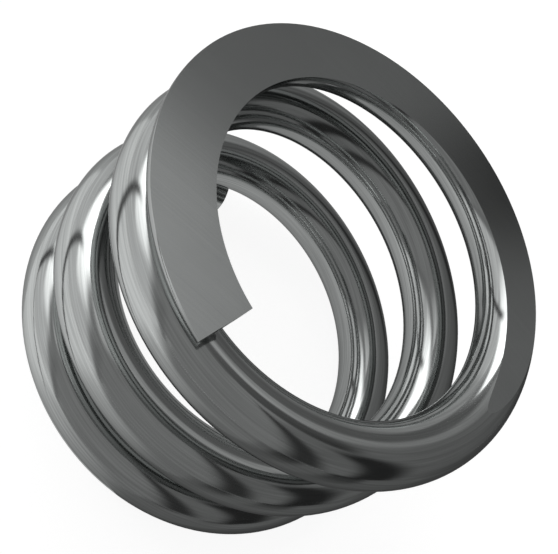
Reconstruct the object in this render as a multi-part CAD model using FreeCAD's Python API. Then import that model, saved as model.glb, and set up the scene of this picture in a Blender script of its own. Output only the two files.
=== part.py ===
"""Compression spring: round steel wire coiled to the right, both ends closed and ground flat.

The spring stands on its lower ground end, on z = 0, with the coil's axis on Z and the wire's lower tip on +X.
The wire's centre line is drawn on the unrolled coil, where turns of even pitch are a straight line and turns
whose pitch grows evenly are a parabola. A round section is swept along it, and then both ends are ground.
"""
import FreeCAD, Part
import math
import os

# Wire and coil, in millimetres
wire_diameter = 5.0
mean_diameter = 32.0
free_length = 23.5

# Turns: all of them, then those at the closed pitch and those where the pitch grows, at each end
total_turns = 3.36
closed_turns = 0.5
rise_turns = 0.45

# Ground ends: what grinding leaves of the wire at its tip, and the slit between the tip and the next turn
tip_thickness = 2.2
tip_gap = 0.1

full_circle = 2 * math.pi
wire_radius = wire_diameter / 2
mean_radius = mean_diameter / 2

# The centre line starts and ends where grinding leaves the tips as thick as they are
lower_tip_height = tip_thickness - wire_radius
upper_tip_height = free_length - lower_tip_height
whole_climb = upper_tip_height - lower_tip_height

# In its first turn, and in its last, the wire climbs just clear of its own tip
end_climb = wire_diameter + tip_gap

# An end turn climbs as if the pitch jumped from closed to open halfway through the rise
turns_before_open = closed_turns + rise_turns / 2
open_pitch = (whole_climb - 2 * end_climb) / (total_turns - 2)
closed_pitch = (end_climb - open_pitch * (1 - turns_before_open)) / turns_before_open


def even_stretch(start, end):
    """The centre line where the pitch stays the same: straight on the unrolled coil."""
    return Part.Geom2d.Line2dSegment(start, end)


def changing_stretch(start, corner, end):
    """The centre line where the pitch changes evenly: a parabola that starts and ends along its corner's sides."""
    parabola = Part.Geom2d.BezierCurve2d()
    parabola.setPoles([start, corner, end])
    return parabola


def place(turns, height):
    """A point of the unrolled coil, so many turns from the lower tip and so high."""
    return FreeCAD.Base.Vector2d(turns * full_circle, height)


def centre_line():
    """The wire's centre line from the lower tip to the upper one, rolled up on the coil's mean cylinder."""
    closed_end = (closed_turns, closed_pitch * closed_turns)
    corner = (turns_before_open, closed_pitch * turns_before_open)
    open_start = (closed_turns + rise_turns, corner[1] + open_pitch * rise_turns / 2)
    way_up = [(0, 0), closed_end, corner, open_start]
    low = [place(turns, lower_tip_height + climb) for turns, climb in way_up]
    high = [place(total_turns - turns, upper_tip_height - climb) for turns, climb in way_up]
    stretches = [
        even_stretch(low[0], low[1]),
        changing_stretch(low[1], low[2], low[3]),
        even_stretch(low[3], high[3]),
        changing_stretch(high[3], high[2], high[1]),
        even_stretch(high[1], high[0]),
    ]
    mean_cylinder = Part.Cylinder()
    mean_cylinder.Radius = mean_radius
    return Part.Wire([stretch.toShape(mean_cylinder) for stretch in stretches])


def wire_section(path):
    """The round section at the lower tip, square to the wire, as its outer half and its inner half."""
    first = path.OrderedEdges[0]
    centre = first.valueAt(first.FirstParameter)
    along = first.tangentAt(first.FirstParameter)
    outward = FreeCAD.Vector(wire_radius, 0, 0)
    upward = outward.cross(along)
    outer_half = Part.Arc(centre + upward, centre + outward, centre - upward)
    inner_half = Part.Arc(centre - upward, centre - outward, centre + upward)
    return Part.Wire([outer_half.toShape(), inner_half.toShape()])


def coiled_wire():
    """The round wire along its centre line, its section turned towards the coil's axis all the way."""
    path = centre_line()
    unground_bottom = FreeCAD.Vector(0, 0, lower_tip_height - wire_radius)
    unground_top = FreeCAD.Vector(0, 0, upper_tip_height + wire_radius)
    coil_axis = Part.makeLine(unground_bottom, unground_top)
    sweep = Part.BRepOffsetAPI.MakePipeShell(path)
    sweep.setAuxiliarySpine(Part.Wire(coil_axis), False, 0)
    sweep.add(wire_section(path))
    sweep.build()
    sweep.makeSolid()
    return sweep.shape()


def ground_spring():
    """The coiled wire with both ends ground flat: what lies between two planes, a free length apart."""
    reach = mean_radius + wire_diameter
    between_planes = Part.makeBox(
        2 * reach, 2 * reach, free_length, FreeCAD.Vector(-reach, -reach, 0)
    )
    return coiled_wire().common(between_planes).Solids[0]


os.makedirs("parts", exist_ok=True)
ground_spring().exportStep("parts/spring.step")
print("open pitch", round(open_pitch, 2), "mm, closed pitch", round(closed_pitch, 2), "mm")
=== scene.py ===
# %% [markdown]
# # A compression spring of bright steel wire
#
# This lesson dresses one part: a short, stiff spring of round wire, coiled to the right, with both ends
# closed against the next turn and ground flat. The part's construction is loaded first as a fixed frame, in
# metres, with the coil's axis on Z and the lower ground end on z = 0. Everything that is modelled here
# stays inside it.

# %% Load the frame
import math

import bpy
import numpy as np
from mathutils import Matrix, Vector


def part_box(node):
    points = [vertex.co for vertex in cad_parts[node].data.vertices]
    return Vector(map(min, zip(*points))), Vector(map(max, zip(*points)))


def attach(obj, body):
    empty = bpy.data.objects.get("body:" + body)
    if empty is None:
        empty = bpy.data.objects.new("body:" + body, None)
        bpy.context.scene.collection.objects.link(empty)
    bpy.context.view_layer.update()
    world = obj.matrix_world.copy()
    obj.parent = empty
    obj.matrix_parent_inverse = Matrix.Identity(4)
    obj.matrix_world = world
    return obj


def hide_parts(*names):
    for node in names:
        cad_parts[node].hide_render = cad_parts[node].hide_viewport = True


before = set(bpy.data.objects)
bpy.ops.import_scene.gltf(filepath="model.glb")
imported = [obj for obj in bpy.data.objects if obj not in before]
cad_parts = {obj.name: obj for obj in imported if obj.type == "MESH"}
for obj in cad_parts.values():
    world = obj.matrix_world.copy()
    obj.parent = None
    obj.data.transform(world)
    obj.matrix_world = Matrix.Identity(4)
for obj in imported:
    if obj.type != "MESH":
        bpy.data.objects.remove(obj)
bpy.context.view_layer.update()
low_corner, high_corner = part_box("spring")
print("the frame's box:", [round(1000 * side, 2) for side in high_corner - low_corner], "mm")

# %% [markdown]
# A spring is described by a few sizes, as on a drawing: the wire, the coil, how many turns there are, and
# how the pitch goes from closed to open near each end. The overall sizes come from the frame. The wire and
# the turns are written here, because the frame only holds the finished shape.

# %% The spring's sizes, in metres and turns
MM = 0.001
free_length = high_corner.z - low_corner.z
outer_diameter = 37.0 * MM
wire_diameter = 5.0 * MM
wire_radius = wire_diameter / 2
mean_radius = (outer_diameter - wire_diameter) / 2

total_turns = 3.36
closed_turns = 0.5
rise_turns = 0.45
tip_thickness = 2.2 * MM
tip_gap = 0.1 * MM

lower_tip_height = tip_thickness - wire_radius
upper_tip_height = free_length - lower_tip_height
end_climb = wire_diameter + tip_gap
turns_before_open = closed_turns + rise_turns / 2
open_pitch = (upper_tip_height - lower_tip_height - 2 * end_climb) / (total_turns - 2)
closed_pitch = (end_climb - open_pitch * (1 - turns_before_open)) / turns_before_open
print("pitch from", round(closed_pitch / MM, 2), "to", round(open_pitch / MM, 2), "mm")


# %% [markdown]
# How high is the wire after so many turns? While the coil is closed it climbs at the closed pitch. Then the
# pitch grows evenly, so the height follows a parabola, and in the middle it climbs at the open pitch. The
# upper half is the lower half turned over, so one rule serves both.

# %% Height of the wire's centre after so many turns
def centre_height(turns):
    """How high the middle of the wire is, after so many turns from the lower tip."""
    if turns > total_turns / 2:
        return lower_tip_height + upper_tip_height - centre_height(total_turns - turns)
    climb = closed_pitch * turns
    growing = min(max(turns - closed_turns, 0), rise_turns)
    climb += (open_pitch - closed_pitch) * growing ** 2 / (2 * rise_turns)
    climb += (open_pitch - closed_pitch) * max(turns - closed_turns - rise_turns, 0)
    return lower_tip_height + climb


def slope(turns):
    """The angle that the wire climbs at, in radians."""
    small_step = 1e-4
    rise = centre_height(turns + small_step) - centre_height(turns - small_step)
    return math.atan2(rise, 2 * small_step * 2 * math.pi * mean_radius)


print("the wire climbs at up to", round(math.degrees(slope(total_turns / 2)), 2), "degrees")


# %% [markdown]
# The wire could be a curve with a round bevel, but the ends have to be ground, and a mesh can be cut
# cleanly. It starts as the wire's own section: a circle that stands upright at the lower tip. Spin turns it
# about the coil's axis for all the turns at once, which gives flat rings on top of each other.

# %% Spin the wire's section round the coil's axis
steps_a_turn = 150
section_points = 80
ring_count = round(total_turns * steps_a_turn) + 1


def deselect_all():
    """Leaves edit mode and selects nothing, so that an operator finds only its own new object."""
    if bpy.context.object and bpy.context.object.mode != "OBJECT":
        bpy.ops.object.mode_set(mode="OBJECT")
    bpy.ops.object.select_all(action="DESELECT")


deselect_all()
bpy.ops.mesh.primitive_circle_add(
    vertices=section_points,
    radius=wire_radius,
    location=(mean_radius, 0, 0),
    rotation=(math.pi / 2, 0, 0),
)
spring = bpy.context.object
spring.name = "coiled_wire"
spring.data.name = "coiled_wire"
bpy.ops.object.transform_apply(location=True, rotation=True, scale=True)
bpy.ops.object.mode_set(mode="EDIT")
bpy.ops.mesh.select_all(action="SELECT")
bpy.ops.mesh.spin(
    steps=ring_count - 1,
    angle=total_turns * 2 * math.pi,
    center=(0, 0, 0),
    axis=(0, 0, -1),
    use_auto_merge=False,
)
bpy.ops.object.mode_set(mode="OBJECT")
print(spring.name, "has", len(spring.data.vertices), "vertices in", ring_count, "rings")


# %% [markdown]
# Now each flat ring is lifted to the wire's height there, and leaned back so that the section stays square
# to the climbing wire. Spin keeps its rings in order, so ring after ring can be moved with one rule.
# Operators could move the rings one by one, but the whole wire at once takes a moment. The length along the
# wire is summed up on the way, because its finish needs it.

# %% Lift and lean every ring
flat = np.empty(len(spring.data.vertices) * 3)
spring.data.vertices.foreach_get("co", flat)
flat = flat.reshape(ring_count, section_points, 3)
risen = np.empty_like(flat)
length_so_far = 0.0
wire_length = []
for ring in range(ring_count):
    turns = ring / steps_a_turn
    angle = turns * 2 * math.pi
    outward = np.array([math.cos(angle), math.sin(angle), 0])
    forward = np.array([-math.sin(angle), math.cos(angle), 0])
    lean = slope(turns)
    square_up = math.cos(lean) * np.array([0, 0, 1]) - math.sin(lean) * forward
    height = flat[ring, :, 2:3]
    from_axis = flat[ring] @ outward
    risen[ring] = from_axis[:, None] * outward + height * square_up
    risen[ring, :, 2] += centre_height(turns)
    wire_length.append(length_so_far)
    length_so_far += 2 * math.pi * mean_radius / steps_a_turn / math.cos(lean)
spring.data.vertices.foreach_set("co", risen.ravel())
spring.data.update()
print("the wire is", round(wire_length[-1] / MM, 1), "mm long before its ends are ground")

# %% [markdown]
# The lines that drawing leaves run along the wire, so the finish has to know which way that is. An unwrap
# operator would have to guess it. Here it is known: U is the length along the wire, counted in girths, and
# V goes once round the section. On the faces that close the round, V ends at one and doesn't fall back to
# zero.

# %% Unroll the wire onto a UV map
unrolled = spring.data.uv_layers.new(name="along_and_around")
corner_points = np.empty(len(spring.data.loops), dtype=int)
spring.data.loops.foreach_get("vertex_index", corner_points)
along = np.array(wire_length)[corner_points // section_points]
around = (corner_points % section_points).reshape(-1, 4)
seam_faces = around.max(axis=1) - around.min(axis=1) > 1
around = np.where(seam_faces[:, None] & (around == 0), section_points, around).ravel()
uv = np.stack([along / (2 * math.pi * wire_radius), around / section_points], axis=1)
unrolled.data.foreach_set("uv", uv.ravel())
print("the UV map is", round(float(uv[:, 0].max()), 1), "wire girths long")

# %% [markdown]
# The wire is still open at its two tips. Each tip is sheared off flat, so its border is filled with one
# face. Grinding is a cut with two planes, a free length apart: bisect takes away what lies outside and
# fills the cut, which leaves the long crescent that such an end has. Its border stays a sharp edge.

# %% Close the tips and grind both ends
cut_tolerance = 0.0001 * MM


def grind(height, facing):
    """Cuts away what lies past a level plane, and fills the cut."""
    bpy.ops.mesh.select_all(action="SELECT")
    bpy.ops.mesh.bisect(
        plane_co=(0, 0, height),
        plane_no=(0, 0, facing),
        use_fill=True,
        clear_outer=True,
        threshold=cut_tolerance,
    )


bpy.context.view_layer.objects.active = spring
spring.select_set(True)
bpy.ops.object.mode_set(mode="EDIT")
bpy.ops.mesh.select_all(action="DESELECT")
bpy.ops.mesh.select_mode(type="EDGE")
bpy.ops.mesh.select_non_manifold()
bpy.ops.mesh.edge_face_add()
grind(low_corner.z, -1)
grind(high_corner.z, 1)
bpy.ops.mesh.select_all(action="SELECT")
bpy.ops.mesh.normals_make_consistent(inside=False)
bpy.ops.object.mode_set(mode="OBJECT")
print(spring.name, "now has", len(spring.data.polygons), "faces")

# %% [markdown]
# ## The camera
#
# The photograph looks down on the upper end from a short distance with a fairly long lens, and it is
# rolled, so that the coil's axis leans to the right. The camera's place is given by three angles, a
# distance and the small shift of the spring from the middle of the picture.

# %% The camera
view_azimuth = math.radians(131.16)
view_from_axis = math.radians(41.78)
view_roll = math.radians(57.13)
view_distance = 79.9 * MM
aim_right = 0.363 * MM
aim_up = -1.142 * MM
lens_length = 60.93

middle = Vector((0, 0, (low_corner.z + high_corner.z) / 2))
to_camera = Vector((
    math.sin(view_from_axis) * math.cos(view_azimuth),
    math.sin(view_from_axis) * math.sin(view_azimuth),
    math.cos(view_from_axis),
))
axis_in_picture = (Vector((0, 0, 1)) - to_camera * to_camera.z).normalized()
across_axis = axis_in_picture.cross(to_camera)
picture_up = math.cos(view_roll) * axis_in_picture - math.sin(view_roll) * across_axis
picture_right = math.sin(view_roll) * axis_in_picture + math.cos(view_roll) * across_axis

camera_data = bpy.data.cameras.new("camera")
camera_data.lens = lens_length
camera_data.clip_start = 1 * MM
camera_data.clip_end = 10
camera = bpy.data.objects.new("camera", camera_data)
bpy.context.scene.collection.objects.link(camera)
eye = middle + to_camera * view_distance - picture_right * aim_right - picture_up * aim_up
turned = Matrix((picture_right, picture_up, to_camera)).transposed()
camera.matrix_world = Matrix.Translation(eye) @ turned.to_4x4()
bpy.context.scene.camera = camera
print("the camera is", round(eye.z / MM, 1), "mm above the floor")

# %% [markdown]
# ## The finishes
#
# One piece of steel has three finishes here. The wire keeps the bright skin that drawing gave it, with fine
# lines along it. The ends have the satin grey of a grinding wheel, and the tips show where the wire was
# sheared off. They are materials of the same steel, so they share its colour, and each gets its own fine
# marks.

# %% The steel's colour and a helper that starts a finish
steel_colour = (0.549, 0.567, 0.561, 1)
# The tint of what the steel mirrors at a glancing angle, where a polished metal would turn white
steel_at_a_glance = (0.5, 0.5, 0.5, 1)


def start_finish(name):
    """A bare metal to add marks to: gives back the material, its nodes, its links and its shader."""
    material = bpy.data.materials.new(name)
    material.use_nodes = True
    nodes = material.node_tree.nodes
    shader = nodes["Principled BSDF"]
    shader.inputs["Metallic"].default_value = 1
    shader.inputs["Specular Tint"].default_value = steel_at_a_glance
    return material, nodes, material.node_tree.links, shader


# %% [markdown]
# Drawing, grinding and shearing all leave lines in the metal, only finer or coarser and along other paths.
# So one group of nodes makes lines, and each finish puts it on its own path. Noise that is stretched along
# X gives lines that start and end, as scratches do. Two sizes of it together look less regular than one.

# %% A group that makes fine lines
fine_lines = bpy.data.node_groups.new("fine_lines", "ShaderNodeTree")
fine_lines.interface.new_socket("Path", in_out="INPUT", socket_type="NodeSocketVector")
fine_lines.interface.new_socket("Lines across", in_out="INPUT", socket_type="NodeSocketFloat")
fine_lines.interface.new_socket("Lines", in_out="OUTPUT", socket_type="NodeSocketFloat")
nodes = fine_lines.nodes
links = fine_lines.links
given = nodes.new("NodeGroupInput")
result = nodes.new("NodeGroupOutput")
fine_and_coarse = ((1.0, 2.0), (0.37, 3.0))
sizes = []
for share, detail in fine_and_coarse:
    count = nodes.new("ShaderNodeMath")
    count.operation = "MULTIPLY"
    count.inputs[1].default_value = share
    noise = nodes.new("ShaderNodeTexNoise")
    noise.inputs["Detail"].default_value = detail
    noise.inputs["Roughness"].default_value = 0.55
    links.new(given.outputs["Lines across"], count.inputs[0])
    links.new(count.outputs[0], noise.inputs["Scale"])
    links.new(given.outputs["Path"], noise.inputs["Vector"])
    sizes.append(noise)
together = nodes.new("ShaderNodeMix")
together.inputs["Factor"].default_value = 0.45
links.new(sizes[0].outputs[0], together.inputs["A"])
links.new(sizes[1].outputs[0], together.inputs["B"])
contrast = nodes.new("ShaderNodeMapRange")
contrast.inputs["From Min"].default_value = 0.3
contrast.inputs["From Max"].default_value = 0.7
links.new(together.outputs[0], contrast.inputs["Value"])
links.new(contrast.outputs[0], result.inputs["Lines"])
print(fine_lines.name, "mixes", len(sizes), "sizes of stretched noise")

# %% [markdown]
# Bare steel is never quite even. A thin film of oil and the touch of hands leave soft clouds that are a
# little duller and darker than the rest. Every finish gets them from a second group, which puts out the
# steel's colour with the clouds in it, and the clouds themselves for the roughness. The Mix node has
# sockets for every kind of data, several of them with the same name, so those for colours are told apart by
# their numbers.

# %% A group that makes faint clouds
first_colour = 6
second_colour = 7
mixed_colour = 2
black = (0, 0, 0, 1)
faint_clouds = bpy.data.node_groups.new("faint_clouds", "ShaderNodeTree")
faint_clouds.interface.new_socket("Size", in_out="INPUT", socket_type="NodeSocketFloat")
faint_clouds.interface.new_socket("Depth", in_out="INPUT", socket_type="NodeSocketFloat")
faint_clouds.interface.new_socket("Metal", in_out="INPUT", socket_type="NodeSocketColor")
faint_clouds.interface.new_socket("Colour", in_out="OUTPUT", socket_type="NodeSocketColor")
faint_clouds.interface.new_socket("Clouds", in_out="OUTPUT", socket_type="NodeSocketFloat")
nodes = faint_clouds.nodes
links = faint_clouds.links
given = nodes.new("NodeGroupInput")
result = nodes.new("NodeGroupOutput")
place = nodes.new("ShaderNodeTexCoord")
per_metre = nodes.new("ShaderNodeMath")
per_metre.operation = "DIVIDE"
per_metre.inputs[0].default_value = 1
noise = nodes.new("ShaderNodeTexNoise")
noise.inputs["Detail"].default_value = 3
clouds = nodes.new("ShaderNodeMapRange")
clouds.inputs["From Min"].default_value = 0.35
clouds.inputs["From Max"].default_value = 0.7
amount = nodes.new("ShaderNodeMath")
amount.operation = "MULTIPLY"
darker = nodes.new("ShaderNodeMix")
darker.data_type = "RGBA"
darker.inputs[second_colour].default_value = black
links.new(given.outputs["Size"], per_metre.inputs[1])
links.new(per_metre.outputs[0], noise.inputs["Scale"])
links.new(place.outputs["Object"], noise.inputs["Vector"])
links.new(noise.outputs[0], clouds.inputs["Value"])
links.new(clouds.outputs[0], amount.inputs[0])
links.new(given.outputs["Depth"], amount.inputs[1])
links.new(amount.outputs[0], darker.inputs["Factor"])
links.new(given.outputs["Metal"], darker.inputs[first_colour])
links.new(darker.outputs[mixed_colour], result.inputs["Colour"])
links.new(clouds.outputs[0], result.inputs["Clouds"])
print(faint_clouds.name, "has", len(faint_clouds.interface.items_tree), "sockets")

# %% [markdown]
# Each finish now differs in a few values only: the path that its lines follow, how many, how deep and how
# dark they are, how rough the steel is between the best and the worst of them, and how its clouds are. One
# helper puts that together. The bump is shallow, a thousandth of a millimetre or so on the wire and on the
# ground ends, so it only bends the reflections a little.

# %% Add the marks to a finish
cloud_share = 0.5


def add_marks(finish, path, lines_across, line_depth, line_tint, smooth, rough, cloud_size, cloud_depth):
    """Feeds the shader's colour, roughness and normal from lines on the path and from faint clouds."""
    material, nodes, links, shader = finish
    lines = nodes.new("ShaderNodeGroup")
    lines.node_tree = fine_lines
    lines.inputs["Lines across"].default_value = lines_across
    links.new(path, lines.inputs["Path"])
    clouds = nodes.new("ShaderNodeGroup")
    clouds.node_tree = faint_clouds
    clouds.inputs["Size"].default_value = cloud_size
    clouds.inputs["Depth"].default_value = cloud_depth
    clouds.inputs["Metal"].default_value = steel_colour
    dulled = nodes.new("ShaderNodeMath")
    dulled.operation = "MULTIPLY_ADD"
    dulled.inputs[1].default_value = cloud_share
    roughness = nodes.new("ShaderNodeMapRange")
    roughness.inputs["From Max"].default_value = 1 + cloud_share
    roughness.inputs["To Min"].default_value = smooth
    roughness.inputs["To Max"].default_value = rough
    tint = nodes.new("ShaderNodeMath")
    tint.operation = "MULTIPLY"
    tint.inputs[1].default_value = line_tint
    streaked = nodes.new("ShaderNodeMix")
    streaked.data_type = "RGBA"
    streaked.inputs[second_colour].default_value = black
    bump = nodes.new("ShaderNodeBump")
    bump.inputs["Strength"].default_value = 1
    bump.inputs["Distance"].default_value = line_depth
    links.new(clouds.outputs["Clouds"], dulled.inputs[0])
    links.new(lines.outputs["Lines"], dulled.inputs[2])
    links.new(dulled.outputs[0], roughness.inputs["Value"])
    links.new(roughness.outputs[0], shader.inputs["Roughness"])
    links.new(lines.outputs["Lines"], tint.inputs[0])
    links.new(tint.outputs[0], streaked.inputs["Factor"])
    links.new(clouds.outputs["Colour"], streaked.inputs[first_colour])
    links.new(streaked.outputs[mixed_colour], shader.inputs["Base Color"])
    links.new(lines.outputs["Lines"], bump.inputs["Height"])
    links.new(bump.outputs[0], shader.inputs["Normal"])
    print(material.name, "is", smooth, "to", rough, "rough, with lines", line_depth / MM, "mm deep")


# %% [markdown]
# The drawn wire's lines run along it, so they follow the UV map: slow in U, along the wire, and fast in V,
# round it. A hundred to the girth, with the coarser ones among them, give lines a few tenths of a
# millimetre apart, as the photograph shows on the flanks.

# %% The bright drawn wire
stretch_along_wire = 0.02
bright_wire = start_finish("bright_drawn_wire")
nodes, links = bright_wire[1:3]
unrolled_wire = nodes.new("ShaderNodeUVMap")
unrolled_wire.uv_map = unrolled.name
along_wire = nodes.new("ShaderNodeMapping")
along_wire.inputs["Scale"].default_value = (stretch_along_wire, 1, 1)
links.new(unrolled_wire.outputs["UV"], along_wire.inputs["Vector"])
add_marks(
    bright_wire,
    along_wire.outputs["Vector"],
    lines_across=105,
    line_depth=0.0013 * MM,
    line_tint=0.36,
    smooth=0.07,
    rough=0.15,
    cloud_size=9 * MM,
    cloud_depth=0.06,
)

# %% [markdown]
# A grinding wheel is much larger than the spring, so its marks cross the end as long flat arcs. Arcs about
# one far point are lines of equal distance from it: the distance is what changes fast, and nothing else
# does.

# %% The ground ends
wheel_centre = (-90 * MM, 60 * MM, 0)
stretch_along_arc = 0.015
ground_steel = start_finish("ground_steel")
nodes, links = ground_steel[1:3]
on_part = nodes.new("ShaderNodeTexCoord")
from_centre = nodes.new("ShaderNodeVectorMath")
from_centre.operation = "SUBTRACT"
from_centre.inputs[1].default_value = wheel_centre
flat_on_face = nodes.new("ShaderNodeVectorMath")
flat_on_face.operation = "MULTIPLY"
flat_on_face.inputs[1].default_value = (1, 1, 0)
wheel_distance = nodes.new("ShaderNodeVectorMath")
wheel_distance.operation = "LENGTH"
arc = nodes.new("ShaderNodeCombineXYZ")
arc_start = nodes.new("ShaderNodeSeparateXYZ")
slow = nodes.new("ShaderNodeMath")
slow.operation = "MULTIPLY"
slow.inputs[1].default_value = stretch_along_arc
links.new(on_part.outputs["Object"], from_centre.inputs[0])
links.new(from_centre.outputs[0], flat_on_face.inputs[0])
links.new(flat_on_face.outputs[0], wheel_distance.inputs[0])
links.new(on_part.outputs["Object"], arc_start.inputs[0])
links.new(arc_start.outputs["X"], slow.inputs[0])
links.new(slow.outputs[0], arc.inputs["X"])
links.new(wheel_distance.outputs["Value"], arc.inputs["Y"])
add_marks(
    ground_steel,
    arc.outputs[0],
    lines_across=5000,
    line_depth=0.0005 * MM,
    line_tint=0.05,
    smooth=0.11,
    rough=0.2,
    cloud_size=7 * MM,
    cloud_depth=0.08,
)

# %% [markdown]
# A sheared tip has coarse upright marks where the blade passed, and it is duller than the rest. Its marks
# are upright lines in the part's own space, because the tips are flat and stand on edge.

# %% The sheared tips
upright_stretch = 0.12
sheared_steel = start_finish("sheared_steel")
nodes, links = sheared_steel[1:3]
on_part = nodes.new("ShaderNodeTexCoord")
upright = nodes.new("ShaderNodeMapping")
upright.inputs["Scale"].default_value = (1, 1, upright_stretch)
links.new(on_part.outputs["Object"], upright.inputs["Vector"])
add_marks(
    sheared_steel,
    upright.outputs["Vector"],
    lines_across=3500,
    line_depth=0.02 * MM,
    line_tint=0.4,
    smooth=0.25,
    rough=0.42,
    cloud_size=2 * MM,
    cloud_depth=0.25,
)

# %% [markdown]
# The faces are told apart by what made them. A ground face is level and lies at an end. A sheared tip is
# the other kind of face with many corners. All the rest is drawn wire. The edges between two kinds are
# marked sharp, so that the round wire is shaded smooth right up to the flats.

# %% Give each face its finish
level = 0.9999
most_corners_of_a_wall_face = 8
finishes = {"drawn": bright_wire[0], "ground": ground_steel[0], "sheared": sheared_steel[0]}
for material in finishes.values():
    spring.data.materials.append(material)
spring.data.shade_smooth()
slots = list(finishes)
edge_kinds = {}
face_kinds = []
for face in spring.data.polygons:
    from_end = min(abs(face.center.z - low_corner.z), abs(face.center.z - high_corner.z))
    kind = "drawn"
    if abs(face.normal.z) > level and from_end < cut_tolerance:
        kind = "ground"
    elif len(face.vertices) > most_corners_of_a_wall_face:
        kind = "sheared"
    face.material_index = slots.index(kind)
    face_kinds.append(kind)
    for key in face.edge_keys:
        edge_kinds.setdefault(key, set()).add(kind)
borders = [edge for edge in spring.data.edges if len(edge_kinds[edge.key]) > 1]
for edge in borders:
    edge.use_edge_sharp = True
for kind in slots:
    print(face_kinds.count(kind), kind, "faces")
print(len(borders), "edges are sharp")

# %% [markdown]
# ## The studio
#
# Bright steel has hardly a colour of its own: what it shows is the room. So the studio is what makes this
# picture. The floor is pale and matt, and everything sees it as white, the camera as well as the steel. Its
# own light makes it so, and the lamp only adds enough for a soft shadow.

# %% The floor
floor_side = 8
floor_colour = (0.32, 0.32, 0.32, 1)
floor_glow = 0.88
deselect_all()
bpy.ops.mesh.primitive_plane_add(size=floor_side, location=(0, 0, low_corner.z))
floor = bpy.context.object
floor.name = "floor"
floor_material = bpy.data.materials.new("pale_floor")
floor_material.use_nodes = True
floor.data.materials.append(floor_material)
nodes = floor_material.node_tree.nodes
links = floor_material.node_tree.links
nodes.clear()
output = nodes.new("ShaderNodeOutputMaterial")
matt = nodes.new("ShaderNodeBsdfDiffuse")
matt.inputs["Color"].default_value = floor_colour
glow = nodes.new("ShaderNodeEmission")
both = nodes.new("ShaderNodeAddShader")
ray = nodes.new("ShaderNodeLightPath")
looks = ray.outputs["Is Camera Ray"]
for kind in ("Is Glossy Ray", "Is Transmission Ray"):
    either = nodes.new("ShaderNodeMath")
    either.operation = "MAXIMUM"
    links.new(looks, either.inputs[0])
    links.new(ray.outputs[kind], either.inputs[1])
    looks = either.outputs[0]
strength = nodes.new("ShaderNodeMath")
strength.operation = "MULTIPLY"
strength.inputs[1].default_value = floor_glow
links.new(looks, strength.inputs[0])
links.new(strength.outputs[0], glow.inputs["Strength"])
links.new(matt.outputs[0], both.inputs[0])
links.new(glow.outputs[0], both.inputs[1])
links.new(both.outputs[0], output.inputs["Surface"])
print("the floor is", floor.dimensions.x, "m wide")

# %% [markdown]
# The room is grey above, which keeps the steel's middle tones, and white at the horizon, so that the floor
# runs into it without a line when the spring is seen from low down. How high a direction points goes from 0
# on the horizon to 1 straight up, and the white ends low down on that scale.

# %% The room
room_grey = 0.29
white_up_to = 0.03
grey_from = 0.2
world = bpy.data.worlds.new("studio")
bpy.context.scene.world = world
world.use_nodes = True
nodes = world.node_tree.nodes
links = world.node_tree.links
direction = nodes.new("ShaderNodeTexCoord")
parts = nodes.new("ShaderNodeSeparateXYZ")
height_fade = nodes.new("ShaderNodeMapRange")
height_fade.interpolation_type = "SMOOTHSTEP"
height_fade.inputs["From Min"].default_value = white_up_to
height_fade.inputs["From Max"].default_value = grey_from
height_fade.inputs["To Min"].default_value = 1
height_fade.inputs["To Max"].default_value = room_grey
nodes["Background"].inputs["Color"].default_value = (1, 1, 1, 1)
links.new(direction.outputs["Generated"], parts.inputs[0])
links.new(parts.outputs["Z"], height_fade.inputs["Value"])
links.new(height_fade.outputs[0], nodes["Background"].inputs["Strength"])
print("the room goes from white to", room_grey, "above the horizon")

# %% [markdown]
# A photographer shapes what bright metal shows with cards: white ones for its lights, black ones for its
# dark streaks. These cards are in the mirror image only. The camera, the floor and the shadows don't notice
# them. Each one is a bent grid, and its material gives a grey at each of its four corners and a soft
# border. Lamps would do for the bright ones, but not for the dark ones, and they would light the floor too.

# %% A card's material
def times(nodes, links, first, second):
    """A node that multiplies two values."""
    product = nodes.new("ShaderNodeMath")
    product.operation = "MULTIPLY"
    links.new(first, product.inputs[0])
    links.new(second, product.inputs[1])
    return product.outputs[0]


def ramp(nodes, links, value, low, high, start=0.0, end=1.0, style="LINEAR"):
    """A node that goes from low to high while a value goes from start to end."""
    ramped = nodes.new("ShaderNodeMapRange")
    ramped.interpolation_type = style
    ramped.inputs["From Min"].default_value = start
    ramped.inputs["From Max"].default_value = end
    ramped.inputs["To Min"].default_value = low
    ramped.inputs["To Max"].default_value = high
    links.new(value, ramped.inputs["Value"])
    return ramped.outputs[0]


def card_material(name, greys, fade):
    """Greys go bottom start, bottom end, top start, top end, and the fade goes start, end, bottom, top."""
    material = bpy.data.materials.new(name)
    material.use_nodes = True
    nodes = material.node_tree.nodes
    links = material.node_tree.links
    nodes.clear()
    place = nodes.new("ShaderNodeTexCoord")
    split = nodes.new("ShaderNodeSeparateXYZ")
    links.new(place.outputs["UV"], split.inputs[0])
    across, up = split.outputs["X"], split.outputs["Y"]
    solid = ramp(nodes, links, across, 0, 1, 0, fade[0], "SMOOTHSTEP")
    for value, start, end in ((across, 1, 1 - fade[1]), (up, 0, fade[2]), (up, 1, 1 - fade[3])):
        solid = times(nodes, links, solid, ramp(nodes, links, value, 0, 1, start, end, "SMOOTHSTEP"))
    shade = nodes.new("ShaderNodeMix")
    links.new(up, shade.inputs["Factor"])
    links.new(ramp(nodes, links, across, greys[0], greys[1]), shade.inputs["A"])
    links.new(ramp(nodes, links, across, greys[2], greys[3]), shade.inputs["B"])
    glow = nodes.new("ShaderNodeEmission")
    clear = nodes.new("ShaderNodeBsdfTransparent")
    blend = nodes.new("ShaderNodeMixShader")
    output = nodes.new("ShaderNodeOutputMaterial")
    links.new(shade.outputs[0], glow.inputs["Strength"])
    links.new(solid, blend.inputs[0])
    links.new(clear.outputs[0], blend.inputs[1])
    links.new(glow.outputs[0], blend.inputs[2])
    links.new(blend.outputs[0], output.inputs["Surface"])
    return material


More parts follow.
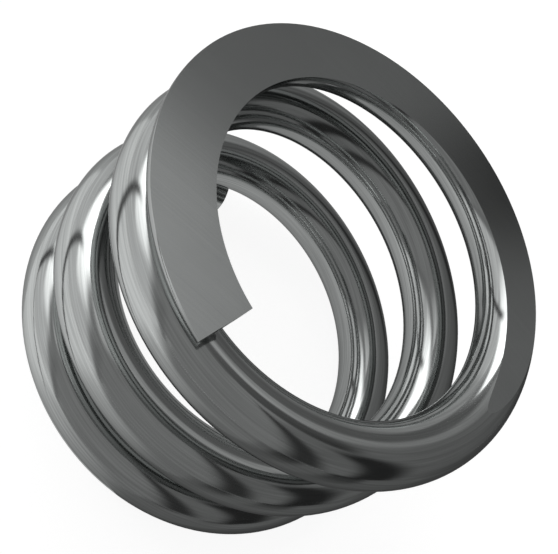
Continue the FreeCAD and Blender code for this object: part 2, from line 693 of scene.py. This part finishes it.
# %% [markdown]
# A card is placed by where it shows in the mirror. Its azimuth counts from the camera's, against the clock
# as seen from above, and its elevation from the horizon. The far cards curve about the spring at about half
# a metre. All the cards are dimmed alike, so that the steel can keep its own light colour.

# %% Hang a card
card_light = 0.85


def toward(azimuth, elevation=0.0):
    """The direction at these angles, in degrees, with the azimuth counted from the camera's."""
    turn = view_azimuth + math.radians(azimuth)
    rise = math.radians(elevation)
    return Vector((math.cos(rise) * math.cos(turn), math.cos(rise) * math.sin(turn), math.sin(rise)))


def hang(name, point_at, greys, fade, columns=32, rows=16):
    """A card whose points are point_at(across, up), with both going from 0 to 1."""
    deselect_all()
    bpy.ops.mesh.primitive_grid_add(x_subdivisions=columns, y_subdivisions=rows, size=1)
    card = bpy.context.object
    card.name = name
    for point in card.data.vertices:
        point.co = point_at(point.co.x + 0.5, point.co.y + 0.5)
    if not isinstance(greys, tuple):
        greys = (greys,) * 4
    greys = [card_light * grey for grey in greys]
    card.data.materials.append(card_material(name, greys, fade))
    card.visible_camera = False
    card.visible_diffuse = False
    card.visible_shadow = False
    print(name, "hangs in the studio")


def far_card(name, distance, low_start, low_end, high_start, high_end, greys, fade):
    """A card between four directions, each an azimuth and an elevation."""
    corners = [np.array(corner, dtype=float) for corner in (low_start, low_end, high_start, high_end)]

    def point_at(across, up):
        low = corners[0] + across * (corners[1] - corners[0])
        high = corners[2] + across * (corners[3] - corners[2])
        return middle + toward(*(low + up * (high - low))) * distance

    hang(name, point_at, greys, fade)


print("a quarter turn from the camera points to", [round(part, 2) for part in toward(90)])

# %% [markdown]
# At the negative azimuths is the light side. A pale wall goes over into a half light behind the spring. The
# bright softbox in front of it makes the white streaks on the flanks, and a glow above carries it on to the
# top. A narrow dark edge crosses the wall and the softbox, and gives each streak its dark hook.

# %% The light side
far_card(
    "light_wall", 0.6, (-142, -2), (-6, -2), (-138, 27), (-52, 50),
    greys=0.95,
    fade=(0.25, 0.1, 0.01, 0.3),
)
far_card(
    "half_light", 0.52, (-193, -2), (-116, -2), (-167, 28), (-116, 27),
    greys=(0.3, 0.66, 0.42, 0.6),
    fade=(0.3, 0.2, 0.01, 0.2),
)
far_card(
    "softbox_face", 0.45, (-141, 32), (-48, 18), (-121, 66), (-38, 45),
    greys=(4.8, 0.6, 4.8, 0.6),
    fade=(0.05, 0.3, 0.25, 0.3),
)
far_card(
    "top_glow", 0.44, (-97, 56), (-40, 54), (-97, 80), (-40, 78),
    greys=(1.6, 0.5, 0.8, 0.4),
    fade=(0.12, 0.4, 0.3, 0.4),
)
far_card(
    "dark_edge", 0.4, (-77.5, -2), (-67.5, -2), (-98, 46), (-88, 46),
    greys=0.06,
    fade=(0.45, 0.45, 0.01, 0.35),
)

# %% [markdown]
# At the positive azimuths is the dark side: a dark wall with two darker strips. Behind the spring the room
# goes from dark, low down, to light, and that is what the ground face shows, with a deeper shadow across
# it. A card over the back dims what the turns mirror from above. In front, beside the camera, the wall is a
# middle grey with a soft shade where it meets the light side.

# %% The dark side, the far side and the front
far_card(
    "dark_wall", 0.6, (40, -2), (172, -2), (40, 80), (172, 80),
    greys=(0.24, 0.16, 0.24, 0.26),
    fade=(0.09, 0.1, 0.01, 0.1),
)
far_card(
    "wide_strip", 0.5, (71, -2), (98, -2), (82, 66), (115, 66),
    greys=0.03,
    fade=(0.3, 0.4, 0.01, 0.2),
)
far_card(
    "narrow_strip", 0.5, (45, -2), (69, -2), (46, 86), (64, 86),
    greys=0.05,
    fade=(0.4, 0.4, 0.06, 0.12),
)
far_card(
    "far_dark", 0.55, (135, -2), (222, -2), (135, 50), (222, 50),
    greys=(0.12, 0.2, 0.25, 0.17),
    fade=(0.2, 0.15, 0.01, 0.1),
)
far_card(
    "far_light", 0.5, (155, 48.5), (222, 47.5), (158, 72), (222, 72),
    greys=(0.3, 0.55, 0.45, 0.85),
    fade=(0.35, 0.15, 0.1, 0.3),
)
far_card(
    "far_shadow", 0.45, (151, -2), (171, -2), (170, 44), (192, 44),
    greys=0.04,
    fade=(0.45, 0.45, 0.05, 0.24),
)
far_card(
    "over_the_back", 0.42, (97, 58), (228, 68), (97, 89), (300, 89),
    greys=(0, 0.25, 0.13, 0.2),
    fade=(0.1, 0.15, 0.25, 0.01),
)
far_card(
    "front_wall", 0.6, (-20, -2), (60, -2), (-20, 35), (60, 35),
    greys=(0.36, 0.3, 0.36, 0.3),
    fade=(0.15, 0.15, 0.01, 0.3),
)
far_card(
    "front_shade", 0.5, (-19, -2), (-7, -2), (-48, 54), (-34, 54),
    greys=0.28,
    fade=(0.5, 0.45, 0.01, 0.3),
)

# %% [markdown]
# Below the horizon the steel mirrors the floor, so the cards go on as sheets that lie on it. From a point
# on the wire, a sheet that runs straight away from it looks upright in the mirror. That is how the dark
# edge, the dark strips and the border of the dark side are carried on down to the spring's feet. Sheets
# that overlap lie in layers, a fiftieth of a millimetre apart, so that the upper one always wins.

# %% Lay a sheet
layer_height = 0.02 * MM
# How far below the horizon a sheet is seen, in degrees
steepest = 80.0
flattest = 1.0


def on_floor(spot, layer):
    """The point of a layer that lies over a spot of the floor."""
    return Vector((spot.x, spot.y, low_corner.z + layer * layer_height))


def floor_sheet(name, layer, start, end, greys, fade, columns=32, rows=32):
    """A sheet on a layer of the floor, between two borders.

    A border is the azimuth that it is seen at on the horizon, and how much that changes for each degree
    below. The sheet runs from right under the wire, where it is seen steepest, to the far cards.
    """

    def border_point(border, depression):
        at_horizon, for_each_degree = border
        ray = toward(at_horizon + for_each_degree * depression, -depression)
        facing = (ray + to_camera).normalized()
        from_axis = mean_radius + wire_radius * math.hypot(facing.x, facing.y)
        stand = Vector((facing.x, facing.y, 0)).normalized() * from_axis
        return stand + Vector((ray.x, ray.y, 0)) * (middle.z / math.sin(math.radians(depression)))

    def point_at(across, up):
        depression = steepest * (flattest / steepest) ** up
        spot = border_point(start, depression).lerp(border_point(end, depression), across)
        return on_floor(spot, layer)

    hang(name, point_at, greys, fade, columns, rows)


print("the sheets lie in layers", round(layer_height / MM, 2), "mm apart")

# %% [markdown]
# Between two borders that are far apart a straight line would cut across, so the floor is laid in sheets
# that overlap a little: in front, on the dark side and behind. On the light side one sheet goes from pale
# to the half light behind the spring. Between that sheet and the one in front, the bare floor is as light
# as it should be. The strips and the dark edge lie on top, and their sheets are narrow.

# %% The cards carried on over the floor
floor_sheet(
    "floor_front", 1, (-30, 0.72), (45, 0.1),
    greys=(0.4, 0.3, 0.33, 0.28),
    fade=(0.34, 0.1, 0.001, 0.001),
)
floor_sheet(
    "floor_right", 2, (38, 0.1), (112, 0),
    greys=(0.23, 0.23, 0.2, 0.16),
    fade=(0.06, 0.02, 0.001, 0.001),
)
floor_sheet(
    "floor_back", 3, (108, 0), (175, 0),
    greys=(0.19, 0.08, 0.16, 0.12),
    fade=(0.02, 0.02, 0.001, 0.001),
)
floor_sheet(
    "wide_strip_floor", 7, (67, 0), (87, 0),
    greys=(0.15, 0.15, 0.01, 0.01),
    fade=(0.3, 0.3, 0.55, 0.001),
    columns=8,
)
floor_sheet(
    "narrow_strip_floor", 8, (44, 0), (61, 0),
    greys=(0.15, 0.15, 0.02, 0.02),
    fade=(0.35, 0.35, 0.55, 0.001),
    columns=8,
)
floor_sheet(
    "floor_left", 4, (-108, 0), (-190, 0),
    greys=(0.85, 0.24, 0.75, 0.4),
    fade=(0.05, 0.1, 0.001, 0.001),
)
floor_sheet(
    "dark_edge_floor", 6, (-80, 0.5), (-69, 0.5),
    greys=0.06,
    fade=(0.45, 0.45, 0.001, 0.001),
    columns=8,
)


# %% [markdown]
# The floor inside the coil, close behind it and close in front of it needs sheets of its own. Inside, a
# square grid becomes round when each of its rows and columns is narrowed to the circle's width. Behind, the
# sheet widens as it goes away. In front it is a sector that fades out, so that the lowest turn's foot goes
# softly from light to dark.

# %% The floor inside the coil, behind it and before it
behind_reach = 30
behind_widening = 0.6
before_reach = 3.2
before_from = -24
before_angle = 54


def inside_point(across, up):
    """A point of the round sheet that fills the coil."""
    sideways = 2 * across - 1
    along = 2 * up - 1
    spot = toward(90) * sideways * math.sqrt(1 - along ** 2 / 2)
    spot += toward(0) * along * math.sqrt(1 - sideways ** 2 / 2)
    return on_floor(spot * outer_diameter / 2, layer=5)


def behind_point(across, up):
    """A point of the sheet that runs away from the camera, wider and wider."""
    reach = outer_diameter / 2 * behind_reach ** up
    width = outer_diameter + behind_widening * (reach - outer_diameter / 2)
    spot = toward(180) * reach + toward(90) * (across - 0.5) * width
    return on_floor(spot, layer=8)


def before_point(across, up):
    """A point of the sector between the spring and the camera."""
    reach = outer_diameter / 2 * before_reach ** up
    spot = toward(before_angle * across + before_from) * reach
    return on_floor(spot, layer=9)


hang(
    "floor_inside", inside_point,
    greys=(0.55, 0.5, 1.35, 0.3),
    fade=(0.03, 0.03, 0.03, 0.03),
)
hang(
    "floor_behind", behind_point,
    greys=(0.9, 0.1, 0.15, 0.12),
    fade=(0.06, 0.06, 0.001, 0.001),
)
hang(
    "floor_before", before_point,
    greys=(1.0, 0.2, 0.95, 0.24),
    fade=(0.3, 0.3, 0.001, 0.4),
)

# %% [markdown]
# One soft lamp stands where the softbox shows. It is weak: it only has to lay the spring's shadow on the
# floor. The steel sees the softbox's card and not the lamp, so that the streak isn't there twice.

# %% The lamp
lamp_azimuth = -105
lamp_elevation = 50
lamp_distance = 0.4
lamp_place = middle + toward(lamp_azimuth, lamp_elevation) * lamp_distance
deselect_all()
bpy.ops.object.light_add(type="AREA", location=lamp_place)
lamp = bpy.context.object
lamp.name = "softbox_lamp"
lamp.rotation_euler = (lamp_place - middle).to_track_quat("Z", "Y").to_euler()
lamp.data.shape = "RECTANGLE"
lamp.data.size = 0.4
lamp.data.size_y = 0.3
lamp.data.energy = 0.5
lamp.visible_glossy = False
bpy.context.scene.view_settings.view_transform = "Standard"
print(lamp.name, "has", lamp.data.energy, "W")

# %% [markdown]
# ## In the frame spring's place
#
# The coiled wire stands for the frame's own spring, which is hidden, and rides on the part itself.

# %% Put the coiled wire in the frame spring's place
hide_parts("spring")
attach(spring, "root")
